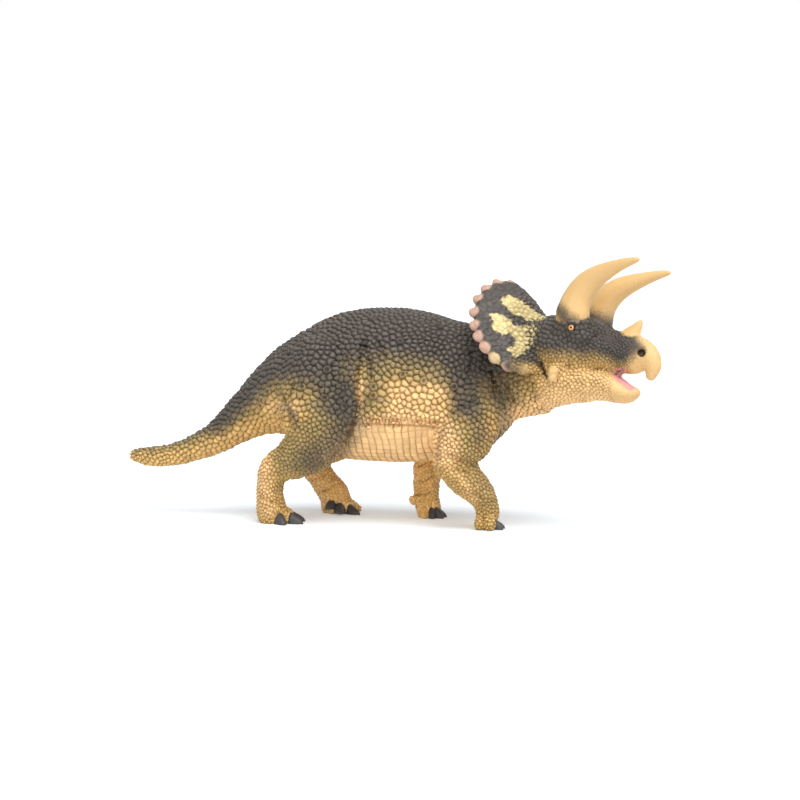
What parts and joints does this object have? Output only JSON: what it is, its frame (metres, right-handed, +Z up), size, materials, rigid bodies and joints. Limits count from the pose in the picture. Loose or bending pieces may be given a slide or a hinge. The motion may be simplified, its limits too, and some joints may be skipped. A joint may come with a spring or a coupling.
{
  "type": "toy dinosaur figure",
  "caption": "Solid vinyl figure of a triceratops in mid-stride, head turned to its right and mouth open, standing on the flat soles of its feet.",
  "frame": {"origin": "on the ground, below the centre of the figure's bounding box", "axes": "+X the way the animal walks, +Y its left side, +Z up"},
  "size_m": [0.1922, 0.0468, 0.0933],
  "materials": {
    "hide": "matte",
    "leg_skin": "matte",
    "face_skin": "matte",
    "jaw_skin": "matte",
    "horn": "satin",
    "claw": "satin",
    "eye": "gloss",
    "mouth": "satin"
  },
  "bodies": {
    "root": {"torso": "hide", "tail": "hide", "right_hind_leg": "leg_skin", "left_hind_leg": "leg_skin", "right_fore_leg": "leg_skin", "left_fore_leg": "leg_skin", "skull": "face_skin", "lower_jaw": "jaw_skin", "right_brow_horn": "horn", "left_brow_horn": "horn", "nose_horn": "horn"}
  },
  "joints": []
}
